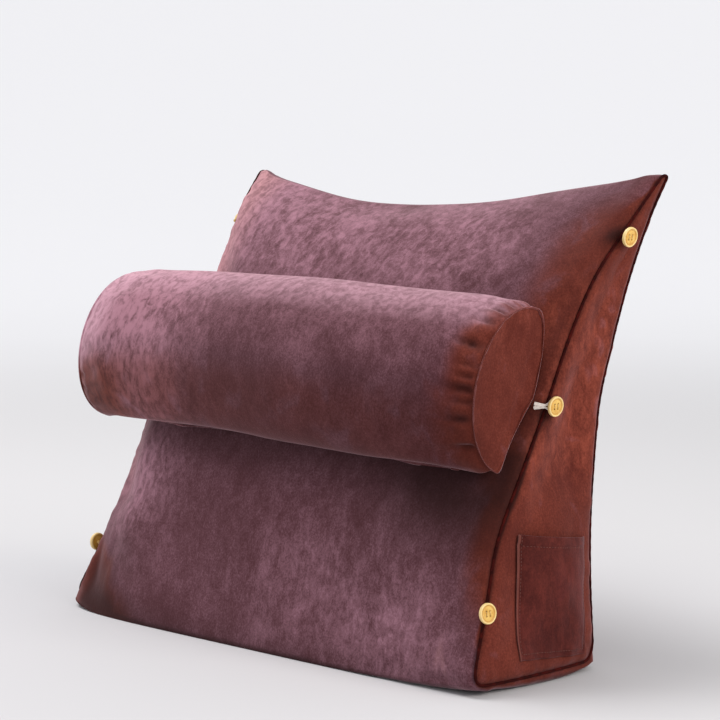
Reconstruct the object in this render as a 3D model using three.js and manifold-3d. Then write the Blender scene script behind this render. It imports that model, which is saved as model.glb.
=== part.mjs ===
// A wedge pillow with a bolster held by elastic loops, a pocket and buttons, in millimetres, +Z up.
// X runs along the width and Y from the front to the back. It stands on its narrow base, and the
// origin is the middle of the base's flat patch.
import * as THREE from "three";
import { mergeVertices } from "three/addons/utils/BufferGeometryUtils.js";
import Module from "manifold-3d";

const wasm = await Module();
wasm.setup();

const WIDTH = 600;
const BASE_MIDDLE_Y = 74;
const GAP = 0.3;
const ENDS = [
  { name: "left", way: -1 },
  { name: "right", way: 1 },
];

// Levels of the two side panels, from the base up: where each panel's seam with the front lies, where
// its seam with the back lies, and how far the stuffing draws the panel in from the corners.
const SIDE_LEVELS = [
  { height: 11, frontLeft: -9, frontRight: -4, backLeft: 168, backRight: 167, drawn: -2 },
  { height: 80, frontLeft: 28, frontRight: 25, backLeft: 174, backRight: 173, drawn: 8 },
  { height: 140, frontLeft: 57, frontRight: 47, backLeft: 181, backRight: 178, drawn: 14 },
  { height: 200, frontLeft: 82, frontRight: 84, backLeft: 189, backRight: 185, drawn: 18 },
  { height: 260, frontLeft: 118, frontRight: 119, backLeft: 199, backRight: 191, drawn: 19 },
  { height: 320, frontLeft: 160, frontRight: 146, backLeft: 215, backRight: 206, drawn: 16 },
  { height: 380, frontLeft: 199, frontRight: 178, backLeft: 236, backRight: 225, drawn: 11 },
  { height: 440, frontLeft: 233, frontRight: 231, backLeft: 258, backRight: 254, drawn: 5 },
  { height: 480, frontLeft: 266, frontRight: 268, backLeft: 275, backRight: 276, drawn: 0 },
];

// How far each panel of the strip swells past its seams, how far round the strip and up it each swell
// reaches, as shares of its depth and height, and how far the top edge sinks between the side panels.
const FRONT_CROWN = { base: 20, middle: 42, top: 8 };
const BACK_CROWN = { base: 18, middle: 38, top: 8 };
const BASE_CROWN = { corner: 26, middle: 36 };
const CROWN_REACH = 0.3;
const BASE_REACH = 0.16;
const TOP_FOLD_RISE = 5;
const TOP_SAG = 43;
const TOP_SAG_REACH = 0.75;
// Shares by which the sag is deeper to the left, the front fuller at its lower left and the base wider
const TOP_LEAN = 0.15;
const BELLY_LEAN = 0.75;
const BELLY_REACH = 0.7;
const BASE_SPREAD = 0.025;
// Powers of the curve by which the strip rises from its seams, at the base and from a fifth of the height
const PUFF = { base: 12, above: 4, reach: 0.2 };
const SIDE_CROWN = { share: 0.11, fullness: 0.6, rise: 0.2, tip: 0.1 };
const BASE_SEAM_SPREAD = 5;
const BASE_SEAM_REACH = 0.1;
const CORNER_ROUND = 8;
const FLOOR_ROUND = 5;
const FRONT_WAY = new THREE.Vector3(0, -0.87, 0.5);
const BACK_WAY = new THREE.Vector3(0, 0.98, -0.2);
const SAG_WAY = new THREE.Vector3(0, -0.47, -0.88);
const CUSHION_CELLS = { across: 28, deep: 6, tall: 24 };
// Steps, step sizes and limit of the searches for a place on the cushion's surface
const SEARCH_STEPS = 40;
const SEARCH_SPAN = { deep: 200, tall: 520 };
const SEARCH_LIMIT = 0.999;

const PIPING_RADIUS = 2;
const PIPING_STEPS = 56;
const PIPING_SIDES = 5;
const OUTLINE_STOPS = { tall: 20, deep: 8 };

const BUTTON = {
  diameter: 20,
  thick: 4,
  underRound: 1.4,
  edge: 0.8,
  rim: 1.8,
  recess: 1,
  dome: 0.3,
  hole: 1.8,
  spacing: 4.6,
  standOff: 9,
};
// Where each button hangs against the front seam, how its face is turned to the front and tipped, and
// how far from the seam its thread starts, just outside the piping
const BUTTONS = [
  { end: "left", row: "low", height: 66, forward: -3, turned: 0.05, tipped: 0, thread: 4.4 },
  { end: "left", row: "middle", height: 263, forward: 0, turned: 0.05, tipped: -0.11, thread: 5 },
  { end: "left", row: "high", height: 423, forward: -12, turned: 0, tipped: -0.1, thread: 5.1 },
  { end: "right", row: "low", height: 77, forward: 8, turned: 0.18, tipped: 0.11, thread: 6 },
  { end: "right", row: "middle", height: 263, forward: 0, turned: 0.05, tipped: -0.11, thread: 4.6 },
  { end: "right", row: "high", height: 423, forward: 1, turned: 0.04, tipped: -0.17, thread: 4.8 },
];
const BUTTON_SIDES = 18;
const HOLE_SIDES = 5;
const SHANK = { radius: 1.8, sides: 8 };
const LATHE_AXIS = new THREE.Vector3(0, 1, 0);

// Stations of the bolster from its end panel to the middle: its half widths seen along its length,
// and how far the front panel's crown lifts it there.
const BOLSTER = { left: 312, right: 273, height: 278, lean: 0.37, dome: 5, panelShare: 0.16, leftRise: 8 };
const BOLSTER_MIDDLE_Y = { left: 66, middle: 60, right: 88 };
const BOLSTER_STATIONS = [
  { along: 1, long: 82, front: 58, back: 24, rise: 0 },
  { along: 0.93, long: 87, front: 66, back: 28, rise: 0 },
  { along: 0.8, long: 88, front: 70, back: 31, rise: 2 },
  { along: 0, long: 87, front: 72, back: 34, rise: 6 },
];
const BOLSTER_CELLS = { round: 30, along: 30 };
const BOLSTER_GAP = 0.8;

// The pocket's corners on the right side panel, as distances back and up from the levels' origin, and
// how far it stands off the panel.
const POCKET = {
  topFront: [67, 145],
  topBack: [151, 132],
  baseFront: [54, 28],
  baseBack: [150, 19],
  thick: 1.6,
  standOff: 13.5,
  fullness: 0.4,
};
const POCKET_CELLS = { across: 12, tall: 10 };

const LOOP = { width: 8, waist: 4, waistAt: 0.7, thick: 1.4, ringWidth: 2.4, ringInside: 2.8 };
const LOOP_UNDER_BUTTON = 1.6;
const LOOP_CELLS = { round: 8, along: 6 };
// Where each tail starts at the bolster's end, and how far it runs straight from the neck
const LOOP_STARTS = { left: { x: 314.4, y: 84, straight: 13 }, right: { x: 277, y: 101, straight: 8 } };

const COLOURS = {
  cloth: { color: 0x84525e, roughness: 0.95 },
  bolster: { color: 0x8d5c6a, roughness: 0.95 },
  piping: { color: 0x4a1512, roughness: 0.8 },
  button: { color: 0xe2b55c, roughness: 0.4 },
  elastic: { color: 0xf0e6db, roughness: 0.9 },
  thread: { color: 0xd8b878, roughness: 0.8 },
};

const model = new THREE.Group();
model.position.set(0, -BASE_MIDDLE_Y, 0);

function add(name, geometry, finish) {
  const material = new THREE.MeshStandardMaterial({ ...COLOURS[finish], metalness: 0 });
  const mesh = new THREE.Mesh(geometry, material);
  mesh.name = name;
  model.add(mesh);
  return mesh;
}

const mix = (a, b, t) => a + (b - a) * t;
const arch = (t) => 4 * t * (1 - t);
const fade = (t, reach) => Math.max(0, 1 - t / reach) ** 2;
const towardsEnds = (t) => (1 - Math.cos(Math.PI * t)) / 2;

// Seams of the two side panels
function seamCurve(way, edge) {
  const column = edge + (way < 0 ? "Left" : "Right");
  const points = SIDE_LEVELS.map(
    (level) => new THREE.Vector3(way * (WIDTH / 2 - level.drawn), level[column], level.height),
  );
  return new THREE.CatmullRomCurve3(points);
}

const seams = {};
for (const { way } of ENDS) seams[way] = { front: seamCurve(way, "front"), back: seamCurve(way, "back") };

// A point of the flat triangle inside a side panel's seams: back runs 0 to 1 from the front seam to
// the back seam, and up runs 0 to 1 from the base to the tip.
function seamPoint(way, back, up) {
  const front = seams[way].front.getPoint(up);
  const rear = seams[way].back.getPoint(up);
  const point = front.clone().lerp(rear, back);
  const low = fade(up, BASE_SEAM_REACH);
  point.x += way * BASE_SEAM_SPREAD * arch(back) * low;
  const depth = front.distanceTo(rear);
  const tall = SIDE_LEVELS.at(-1).height * up;
  const toCorner = Math.hypot(Math.min(back, 1 - back) * depth, tall);
  const rounding = (1 - Math.SQRT1_2) * CORNER_ROUND * fade(toCorner, CORNER_ROUND);
  point.y += (back < 0.5 ? 1 : -1) * rounding;
  point.z += rounding;
  return point;
}

// How far the strip of front, base and back swells at a place on its loop
function swelling(back, up) {
  const push = new THREE.Vector3();
  const top = up === 1;
  const frontShare = top ? 1 - back : fade(back, CROWN_REACH);
  const backShare = top ? back : fade(1 - back, CROWN_REACH);
  const crown = (c) => mix(c.base, c.top, up) + (c.middle - (c.base + c.top) / 2) * arch(up);
  push.addScaledVector(FRONT_WAY, crown(FRONT_CROWN) * frontShare);
  push.addScaledVector(BACK_WAY, crown(BACK_CROWN) * backShare);
  push.z *= Math.min(1, up / CROWN_REACH);
  push.z -= mix(BASE_CROWN.corner, BASE_CROWN.middle, arch(back)) * fade(up, BASE_REACH);
  if (top) push.z += TOP_FOLD_RISE * arch(back);
  return push;
}

// Presses everything below the floor flat on it, with a soft edge
function settle(z) {
  if (z <= -FLOOR_ROUND) return 0;
  return z >= FLOOR_ROUND ? z : (z + FLOOR_ROUND) ** 2 / (4 * FLOOR_ROUND);
}

// A point of the strip: across runs -1 to 1 from the left seam to the right one.
function stripPoint(across, back, up) {
  const point = seamPoint(-1, back, up).lerp(seamPoint(1, back, up), (1 + across) / 2);
  const power = mix(PUFF.base, PUFF.above, Math.min(1, up / PUFF.reach));
  const puff = Math.sqrt(1 - Math.abs(across) ** power);
  const leaning = across * (1 - Math.max(0, -across) ** 4);
  const belly = 1 - BELLY_LEAN * leaning * fade(up, BELLY_REACH) * (1 - back);
  point.addScaledVector(swelling(back, up), puff * belly);
  point.x *= 1 + BASE_SPREAD * puff * fade(up, BASE_SEAM_REACH / 2);
  const sag = TOP_SAG * (1 - across ** 2) * (1 - TOP_LEAN * across) * fade(1 - up, TOP_SAG_REACH);
  point.addScaledVector(SAG_WAY, sag);
  point.z = settle(point.z);
  return point;
}

function panelPoint(way, back, up) {
  const point = seamPoint(way, back, up);
  const depth = seams[way].front.getPoint(up).distanceTo(seams[way].back.getPoint(up));
  const rise = Math.sin((Math.PI / 2) * Math.min(1, up / SIDE_CROWN.rise)) ** 0.7;
  const tip = Math.min(1, (1 - up) / SIDE_CROWN.tip);
  point.x += way * SIDE_CROWN.share * depth * arch(back) ** SIDE_CROWN.fullness * rise * tip;
  return point;
}

// A box whose faces are divided into cells, with every point moved to its place
function shapedBox(cells, place) {
  const box = new THREE.BoxGeometry(1, 1, 1, cells.across, cells.deep, cells.tall);
  const at = box.attributes.position;
  for (let i = 0; i < at.count; i++) {
    const point = place(at.getX(i) + 0.5, at.getY(i) + 0.5, at.getZ(i) + 0.5);
    at.setXYZ(i, point.x, point.y, point.z);
  }
  box.deleteAttribute("normal");
  box.deleteAttribute("uv");
  return box;
}

add(
  "wedge_cushion",
  shapedBox(CUSHION_CELLS, (s, t, u) => {
    const across = Math.sin(Math.PI * (s - 0.5));
    const back = towardsEnds(t);
    const up = towardsEnds(u);
    if (s < 1e-6) return panelPoint(-1, back, up);
    if (s > 1 - 1e-6) return panelPoint(1, back, up);
    return stripPoint(across, back, up);
  }),
  "cloth",
);

// Piping, a closed cord that lies in the valley of each side panel's seam
function panelOutline(way) {
  const { tall, deep } = OUTLINE_STOPS;
  const outline = [];
  for (let i = 0; i < tall; i++) outline.push(seamPoint(way, 0, towardsEnds(1 - i / tall)));
  for (let i = 0; i < deep; i++) outline.push(seamPoint(way, towardsEnds(i / deep), 0));
  for (let i = 0; i < tall; i++) outline.push(seamPoint(way, 1, towardsEnds(i / tall)));
  return outline;
}

function pipingCurve(way) {
  const points = panelOutline(way);
  const seat = PIPING_RADIUS + 2 * GAP;
  const laid = points.map((point, i) => {
    const next = points[(i + 1) % points.length];
    const last = points.at(i - 1);
    const out = new THREE.Vector3(0, next.z - last.z, last.y - next.y).normalize();
    return point.clone().addScaledVector(out, seat).setX(point.x + way * seat);
  });
  return new THREE.CatmullRomCurve3(laid, true);
}

for (const end of ENDS) {
  const cord = new THREE.TubeGeometry(pipingCurve(end.way), PIPING_STEPS, PIPING_RADIUS, PIPING_SIDES, true);
  add(`side_piping_${end.name}`, cord, "piping");
}

// Solids that are cut or joined
function solid(geometry) {
  const bare = geometry.index ? geometry.toNonIndexed() : geometry.clone();
  bare.deleteAttribute("normal");
  bare.deleteAttribute("uv");
  const merged = mergeVertices(bare, 1e-4);
  const vertProperties = new Float32Array(merged.attributes.position.array);
  const triVerts = new Uint32Array(merged.index.array);
  return new wasm.Manifold(new wasm.Mesh({ numProp: 3, vertProperties, triVerts }));
}

function geometryOf(made) {
  const mesh = made.getMesh();
  const geometry = new THREE.BufferGeometry();
  geometry.setAttribute("position", new THREE.BufferAttribute(mesh.vertProperties, 3));
  geometry.setIndex(new THREE.BufferAttribute(mesh.triVerts, 1));
  return geometry;
}

// Buttons, with a raised rim and four holes, whose axis is the lathe's Y
function buttonGeometry() {
  const radius = BUTTON.diameter / 2;
  const outline = [
    new THREE.Vector2(0, 0),
    new THREE.Vector2(radius - BUTTON.underRound, 0),
    new THREE.Vector2(radius, BUTTON.underRound),
    new THREE.Vector2(radius, BUTTON.thick - BUTTON.edge),
    new THREE.Vector2(radius - BUTTON.edge, BUTTON.thick),
    new THREE.Vector2(radius - BUTTON.rim, BUTTON.thick),
    new THREE.Vector2(radius - BUTTON.rim - BUTTON.edge, BUTTON.thick - BUTTON.recess),
    new THREE.Vector2(0, BUTTON.thick - BUTTON.recess + BUTTON.dome),
  ];
  let disc = solid(new THREE.LatheGeometry(outline, BUTTON_SIDES));
  for (let corner = 0; corner < 4; corner++) {
    const drill = new THREE.CylinderGeometry(BUTTON.hole / 2, BUTTON.hole / 2, 3 * BUTTON.thick, HOLE_SIDES);
    const turn = (Math.PI / 2) * (corner + 0.5);
    const out = BUTTON.spacing / Math.SQRT2;
    drill.translate(out * Math.cos(turn), 0, out * Math.sin(turn));
    disc = disc.subtract(solid(drill));
  }
  return geometryOf(disc);
}

function seamAtHeight(way, height) {
  let low = 0;
  let high = 1;
  for (let i = 0; i < 30; i++) {
    const middle = (low + high) / 2;
    if (seams[way].front.getPoint(middle).z < height) low = middle;
    else high = middle;
  }
  return seams[way].front.getPoint(low);
}

const fastenings = BUTTONS.map((hung) => {
  const way = hung.end === "left" ? -1 : 1;
  const seam = seamAtHeight(way, hung.height);
  const facing = new THREE.Vector3(way, -hung.turned, hung.tipped).normalize();
  const back = seam.clone().addScaledVector(facing, BUTTON.standOff);
  back.y -= hung.forward;
  const foot = seam.clone().setX(seam.x + way * hung.thread);
  return { end: hung.end, row: hung.row, way, foot, facing, back };
});

const button = buttonGeometry();
for (const { end, row, foot, facing, back } of fastenings) {
  const disc = add(`button_${end}_${row}`, button, "button");
  disc.position.copy(back);
  disc.quaternion.setFromUnitVectors(LATHE_AXIS, facing);

  const along = back.clone().sub(foot).normalize();
  const slant = SHANK.radius * Math.sqrt(1 - along.dot(facing) ** 2);
  const top = back.clone().addScaledVector(along, -(GAP + slant) / along.dot(facing));
  const length = top.distanceTo(foot);
  const thread = new THREE.CylinderGeometry(SHANK.radius, SHANK.radius, length, SHANK.sides);
  const neck = add(`shank_${end}_${row}`, thread, "thread");
  neck.position.copy(top).add(foot).multiplyScalar(0.5);
  neck.quaternion.setFromUnitVectors(LATHE_AXIS, along);
}

// How far back the front panel lies behind a place in front of it, found by stepping towards the place
function frontFaceY(x, z) {
  let up = z / SIDE_LEVELS.at(-1).height;
  let across = x / (WIDTH / 2);
  let point = stripPoint(0, 0, 0.5);
  for (let i = 0; i < SEARCH_STEPS; i++) {
    across = Math.max(-SEARCH_LIMIT, Math.min(SEARCH_LIMIT, across));
    up = Math.max(1 - SEARCH_LIMIT, Math.min(SEARCH_LIMIT, up));
    point = stripPoint(across, 0, up);
    across += (x - point.x) / (WIDTH / 2);
    up += (z - point.z) / SEARCH_SPAN.tall;
  }
  return point.y;
}

// Bolster, a tube whose cross-section is a half moon that the front panel presses flat behind
function bolsterSection(along) {
  const far = Math.abs(along);
  const i = BOLSTER_STATIONS.findIndex((station) => far >= station.along);
  const low = BOLSTER_STATIONS[i];
  const high = BOLSTER_STATIONS[Math.max(0, i - 1)];
  const span = high.along - low.along || 1;
  const t = Math.sin((Math.PI / 2) * ((far - low.along) / span)) ** 2;
  const section = {};
  for (const key of ["long", "front", "back", "rise"]) section[key] = mix(low[key], high[key], t);
  return section;
}

function bolsterPoint(turn, along, inwards) {
  const section = bolsterSection(along);
  const slope = new THREE.Vector2(Math.sin(BOLSTER.lean), Math.cos(BOLSTER.lean));
  const away = new THREE.Vector2(-slope.y, slope.x);
  const x = along * (along < 0 ? BOLSTER.left : BOLSTER.right);
  const leftwards = (1 - along) / 2;
  const height = BOLSTER.height + BOLSTER.leftRise * leftwards + section.rise;
  const endY = along < 0 ? BOLSTER_MIDDLE_Y.left : BOLSTER_MIDDLE_Y.right;
  const centre = new THREE.Vector2(mix(BOLSTER_MIDDLE_Y.middle, endY, along ** 2), height);
  const long = Math.cos(turn) * section.long;
  const out = Math.sin(turn);
  const thick = out > 0 ? out * section.front : out * section.back;
  centre.addScaledVector(slope, long * inwards).addScaledVector(away, thick * inwards);
  const limit = frontFaceY(x, centre.y) - BOLSTER_GAP;
  const y = Math.min(centre.x, limit);
  const dome = BOLSTER.dome * (1 - inwards ** 2);
  return new THREE.Vector3(x + Math.sign(x) * dome, y, centre.y);
}

function bolsterGeometry() {
  const ball = new THREE.SphereGeometry(1, BOLSTER_CELLS.round, BOLSTER_CELLS.along);
  const at = ball.attributes.position;
  for (let i = 0; i < at.count; i++) {
    const pole = Math.acos(Math.max(-1, Math.min(1, at.getY(i)))) / Math.PI;
    const along = 1 - 2 * pole;
    const turn = Math.atan2(at.getX(i), at.getZ(i));
    const rest = 1 - BOLSTER.panelShare;
    const inwards = Math.min(1, (1 - Math.abs(along)) / BOLSTER.panelShare);
    const reach = Math.sin((Math.PI / 2) * Math.min(1, Math.abs(along) / rest));
    const point = bolsterPoint(turn, Math.sign(along) * reach, inwards);
    at.setXYZ(i, point.x, point.y, point.z);
  }
  ball.deleteAttribute("normal");
  ball.deleteAttribute("uv");
  return ball;
}

add("bolster", bolsterGeometry(), "bolster");

// Pocket, a sheet that stands off the right side panel between three sewn edges
function sidePanelX(y, z) {
  let back = 0.5;
  let up = z / SIDE_LEVELS.at(-1).height;
  let point = panelPoint(1, back, up);
  for (let i = 0; i < SEARCH_STEPS; i++) {
    back = Math.min(SEARCH_LIMIT, Math.max(1 - SEARCH_LIMIT, back + (y - point.y) / SEARCH_SPAN.deep));
    up = Math.min(SEARCH_LIMIT, Math.max(1 - SEARCH_LIMIT, up + (z - point.z) / SEARCH_SPAN.tall));
    point = panelPoint(1, back, up);
  }
  return point.x;
}

function pocketPoint(across, tall, outer) {
  const front = POCKET.baseFront.map((low, i) => mix(low, POCKET.topFront[i], tall));
  const back = POCKET.baseBack.map((low, i) => mix(low, POCKET.topBack[i], tall));
  const [y, z] = front.map((near, i) => mix(near, back[i], across));
  const rise = Math.sin((Math.PI / 2) * tall) ** 0.6;
  const slack = POCKET.standOff * arch(across) ** POCKET.fullness * rise;
  const x = sidePanelX(y, z) + 2 * GAP + slack + outer * POCKET.thick;
  return new THREE.Vector3(x, y, z);
}

add(
  "pocket",
  shapedBox({ across: 1, deep: POCKET_CELLS.across, tall: POCKET_CELLS.tall }, (s, t, u) =>
    pocketPoint(towardsEnds(t), towardsEnds(u), s),
  ),
  "cloth",
);

// Elastic loops: a ring round the button's neck, and a tail that narrows to a waist and bends away to
// the bolster's end
function loopRing(neck) {
  const outline = new THREE.Shape();
  outline.absarc(0, 0, LOOP.ringInside + LOOP.ringWidth, 0, 2 * Math.PI, false);
  const eye = new THREE.Path();
  eye.absarc(0, 0, LOOP.ringInside, 0, 2 * Math.PI, true);
  outline.holes.push(eye);
  const settings = { depth: LOOP.thick, bevelEnabled: false, curveSegments: LOOP_CELLS.round };
  const ring = new THREE.ExtrudeGeometry(outline, settings);
  ring.translate(0, 0, -LOOP.thick / 2);
  ring.rotateY(Math.PI / 2);
  ring.translate(neck.x, neck.y, neck.z);
  return ring;
}

function loopTail(neck, way, start) {
  const near = LOOP.ringInside + LOOP.ringWidth / 2;
  const length = neck.y - start.y;
  const sideways = way * start.x - neck.x;
  return shapedBox({ across: 1, deep: LOOP_CELLS.along, tall: 1 }, (s, t, u) => {
    const forward = mix(length, near, t);
    const bent = length - start.straight;
    const turn = (Math.PI / 2) * (Math.max(0, forward - start.straight) / bent);
    const slope = (Math.PI / 2) * (sideways / bent) * Math.sin(turn);
    const x = neck.x + sideways * (1 - Math.cos(turn)) + (s - 0.5) * LOOP.thick * Math.hypot(1, slope);
    const fromWaist = Math.abs(t - LOOP.waistAt) / Math.max(LOOP.waistAt, 1 - LOOP.waistAt);
    const wide = mix(LOOP.waist, LOOP.width, fromWaist);
    return new THREE.Vector3(x, neck.y - forward, neck.z + (u - 0.5) * wide);
  });
}

function loopGeometry({ end, way, facing, back }) {
  const neck = back.clone().addScaledVector(facing, -LOOP_UNDER_BUTTON);
  const tail = loopTail(neck, way, LOOP_STARTS[end]);
  return geometryOf(solid(loopRing(neck)).add(solid(tail)));
}

for (const fastening of fastenings) {
  if (fastening.row === "middle") add(`loop_${fastening.end}`, loopGeometry(fastening), "elastic");
}

export default model;
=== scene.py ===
import math

import bpy
import numpy as np
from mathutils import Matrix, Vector
from mathutils.bvhtree import BVHTree
from mathutils.kdtree import KDTree


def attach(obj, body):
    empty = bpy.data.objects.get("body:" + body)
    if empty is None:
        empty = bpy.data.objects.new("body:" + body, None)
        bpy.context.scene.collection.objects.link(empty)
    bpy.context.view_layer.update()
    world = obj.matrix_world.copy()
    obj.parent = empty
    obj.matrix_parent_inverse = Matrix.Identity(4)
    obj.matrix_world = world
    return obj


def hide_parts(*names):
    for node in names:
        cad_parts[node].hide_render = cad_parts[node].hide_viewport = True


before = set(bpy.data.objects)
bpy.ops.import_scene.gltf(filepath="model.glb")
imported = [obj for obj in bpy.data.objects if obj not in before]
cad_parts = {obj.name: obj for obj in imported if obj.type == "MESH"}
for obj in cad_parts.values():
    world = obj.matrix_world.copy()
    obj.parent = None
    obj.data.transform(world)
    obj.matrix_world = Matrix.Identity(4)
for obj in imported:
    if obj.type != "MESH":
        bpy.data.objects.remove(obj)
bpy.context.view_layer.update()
bpy.ops.object.select_all(action="DESELECT")
bpy.context.scene.view_settings.view_transform = "Standard"

# The camera stands to the front right of the pillow and looks slightly down at it through a long lens.
bpy.ops.object.camera_add(
    location=(1.672, -1.530, 0.507),
    rotation=(math.radians(90 - 5.49), 0, math.radians(46.31)),
)
camera = bpy.context.object
camera.data.lens = 110
camera.data.sensor_width = 36
camera.data.clip_end = 50
bpy.context.scene.camera = camera

# The wedge is one cover of suede-like cloth stuffed with fibre. Its front, base and back are one strip
# that wraps round, sewn to a three-cornered panel at each side, and the stuffing swells it between the
# seams. Sizes are in millimetres from the front bottom edge; the model's origin is BASE_MIDDLE_Y behind.
BASE_MIDDLE_Y = 74
HALF_WIDTH = 300
SIDE_HEIGHTS = (11, 80, 140, 200, 260, 320, 380, 440, 480)
SIDE_DRAWN = (-2, 8, 14, 18, 19, 16, 11, 5, 0)
SIDE_SEAMS = {
    (-1, "front"): (-9, 28, 57, 82, 118, 160, 199, 233, 266),
    (1, "front"): (-4, 25, 47, 84, 119, 146, 178, 231, 268),
    (-1, "back"): (168, 174, 181, 189, 199, 215, 236, 258, 275),
    (1, "back"): (167, 173, 179, 188, 197, 213, 231, 255, 276),
}
CROWNS = {"front": (20, 42, 8), "back": (18, 38, 8)}
CROWN_WAYS = {"front": (0, -0.87, 0.5), "back": (0, 0.98, -0.2)}
CROWN_REACH = 0.3
CROWN_RISE = 0.3
BASE_CROWN = {"edge": 26, "middle": 36, "reach": 0.16}
BASE_SPREAD = {"share": 0.025, "reach": 0.05}
BASE_SEAM_SPREAD = {"middle": 5, "reach": 0.1}
TOP_FOLD_RISE = 5
TOP_SAG = 43
TOP_SAG_WAY = (0, -0.47, -0.88)
TOP_SAG_REACH = 0.75
TOP_LEAN = 0.15
BELLY = {"lean": 0.75, "reach": 0.7}
PUFF = {"base": 12, "above": 4, "reach": 0.2}
SIDE_CROWN = {"share": 0.11, "fullness": 0.6, "rise": 0.2, "tip": 0.1}
CORNER_ROUND = 17
CORNER_SHARE = 0.29
CORNER_LIFT = {"height": 8, "reach": 70}
CORNERS = {"x": (-300, 300, -300, 300), "y": (-9, -4, 168, 167)}
FLOOR_ROUND = 5
CUSHION_CELLS = (100, 20, 84)
SEAM_CREASE = 0.9
# The stuffing blows up covers that are shrunk first, with each point's movement capped, both in metres
SHRUNK = {"cushion": 0.006, "bolster": 0.002}
SWELLING_CAP = {"cushion": 0.008, "bolster": 0.005}
CLOTH = {
    "quality": 5,
    "mass": 0.25,
    "tension_stiffness": 20,
    "compression_stiffness": 18,
    "shear_stiffness": 8,
    "bending_stiffness": 0.6,
    "shrink_min": -0.02,
    "use_pressure": True,
    "uniform_pressure_force": 1.2,
    "vertex_group_mass": "held",
}
CLOTH_STEPS = 20
CALMING_ROUNDS = 6
# Paler patches on the front where hands have stroked the nap, partly painted light: across and up on the
# front, how far it reaches, and how strongly
BRUSHED_AND_LIT = {
    "x": (-250, -120, -230, 60, 200, 120, 0),
    "z": (430, 420, 150, 80, 40, 420, 410),
    "reach": (70, 80, 60, 80, 70, 80, 80),
    "strength": (0.72, 0.5, 0.8, 0.22, 0.36, 0.42, 0.34),
}


def mix(a, b, t):
    return a + (b - a) * t


def arch(t):
    return 4 * t * (1 - t)


def fade(t, reach):
    return np.maximum(0, 1 - t / reach) ** 2


def towards_ends(t):
    return (1 - np.cos(np.pi * t)) / 2


def smooth_step(low, high, value):
    t = np.clip((value - low) / (high - low), 0, 1)
    return t * t * (3 - 2 * t)


def seam_points(way, edge, up):
    """Points of a side panel's seam, a centripetal curve through the levels."""
    seam = zip(SIDE_DRAWN, SIDE_SEAMS[way, edge], SIDE_HEIGHTS)
    levels = np.array([(way * (HALF_WIDTH - drawn), y, z) for drawn, y, z in seam], float)
    ends = np.vstack([2 * levels[0] - levels[1], levels, 2 * levels[-1] - levels[-2]])
    place = np.clip(up, 0, 1) * (len(levels) - 1)
    i = np.minimum(place.astype(int), len(levels) - 2)
    w = (place - i)[:, None]
    p0, p1, p2, p3 = ends[i], ends[i + 1], ends[i + 2], ends[i + 3]
    spans = ((p0, p1), (p1, p2), (p2, p3))
    d0, d1, d2 = (np.sqrt(np.linalg.norm(b - a, axis=1))[:, None] for a, b in spans)
    t1 = ((p1 - p0) / d0 - (p2 - p0) / (d0 + d1) + (p2 - p1) / d1) * d1
    t2 = ((p2 - p1) / d1 - (p3 - p1) / (d1 + d2) + (p3 - p2) / d2) * d1
    c2 = 3 * (p2 - p1) - 2 * t1 - t2
    c3 = 2 * (p1 - p2) + t1 + t2
    return p1 + w * (t1 + w * (c2 + w * c3))


def panel_seam(way, back, up):
    """Points between a side panel's two seams, with the corners at its base rounded."""
    front = seam_points(way, "front", up)
    rear = seam_points(way, "back", up)
    point = mix(front, rear, back[:, None])
    point[:, 0] += way * BASE_SEAM_SPREAD["middle"] * arch(back) * fade(up, BASE_SEAM_SPREAD["reach"])
    depth = np.linalg.norm(rear - front, axis=1)
    corner = np.hypot(np.minimum(back, 1 - back) * depth, SIDE_HEIGHTS[-1] * up)
    rounding = CORNER_SHARE * CORNER_ROUND * fade(corner, CORNER_ROUND)
    point[:, 1] += np.where(back < 0.5, 1, -1) * rounding
    point[:, 2] += rounding
    return point, depth


def strip_point(across, back, up):
    """Points of the strip of front, base and back, whose across runs from -1 to 1 between the sides."""
    left, _ = panel_seam(-1, back, up)
    right, _ = panel_seam(1, back, up)
    point = mix(left, right, ((1 + across) / 2)[:, None])
    top = up > 0.9999
    shares = {
        "front": np.where(top, 1 - back, fade(back, CROWN_REACH)),
        "back": np.where(top, back, fade(1 - back, CROWN_REACH)),
    }
    push = np.zeros_like(point)
    for side, (base, middle, high) in CROWNS.items():
        crown = mix(base, high, up) + (middle - (base + high) / 2) * arch(up)
        push += np.outer(crown * shares[side], CROWN_WAYS[side])
    push[:, 2] *= np.minimum(1, up / CROWN_RISE)
    base_crown = mix(BASE_CROWN["edge"], BASE_CROWN["middle"], arch(back))
    push[:, 2] -= base_crown * fade(up, BASE_CROWN["reach"])
    push[:, 2] += np.where(top, TOP_FOLD_RISE * arch(back), 0)
    power = mix(PUFF["base"], PUFF["above"], np.minimum(1, up / PUFF["reach"]))
    puff = np.sqrt(1 - np.abs(across) ** power)
    leaning = across * (1 - np.maximum(0, -across) ** 4)
    belly = 1 - BELLY["lean"] * leaning * fade(up, BELLY["reach"]) * (1 - back)
    point += push * (puff * belly)[:, None]
    point[:, 0] *= 1 + BASE_SPREAD["share"] * puff * fade(up, BASE_SPREAD["reach"])
    sag = TOP_SAG * (1 - across**2) * (1 - TOP_LEAN * across) * fade(1 - up, TOP_SAG_REACH)
    return point + np.outer(sag, TOP_SAG_WAY)


def side_point(way, back, up):
    """Points of a side panel, which swells between its seams."""
    point, depth = panel_seam(way, back, up)
    rise = np.sin(np.pi / 2 * np.minimum(1, up / SIDE_CROWN["rise"])) ** 0.7
    tip = np.minimum(1, (1 - up) / SIDE_CROWN["tip"])
    point[:, 0] += way * SIDE_CROWN["share"] * depth * arch(back) ** SIDE_CROWN["fullness"] * rise * tip
    return point


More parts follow.
